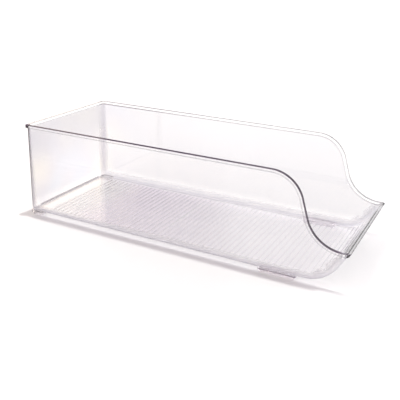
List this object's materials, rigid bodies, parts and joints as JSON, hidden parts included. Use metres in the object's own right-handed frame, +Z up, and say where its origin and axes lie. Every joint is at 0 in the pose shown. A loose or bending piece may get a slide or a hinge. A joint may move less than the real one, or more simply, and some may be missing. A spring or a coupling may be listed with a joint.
{
  "type": "fridge organizer bin",
  "caption": "Long clear fridge organizer bin, open on top, with swept-down sides, a low scooped front lip, a cross-ribbed floor and soft corner pads.",
  "frame": {"origin": "middle of the bin on the plane its feet stand on", "axes": "+X towards the low front lip, +Y towards the left side wall seen from behind, +Z up"},
  "size_m": [0.35, 0.1376, 0.1],
  "materials": {
    "clear_plastic": "clear, polished",
    "clear_pad": "clear, soft"
  },
  "bodies": {
    "root": {"bin_shell": "clear_plastic", "pad_rear_right": "clear_pad", "pad_rear_left": "clear_pad", "pad_front_right": "clear_pad", "pad_front_left": "clear_pad"}
  },
  "joints": []
}
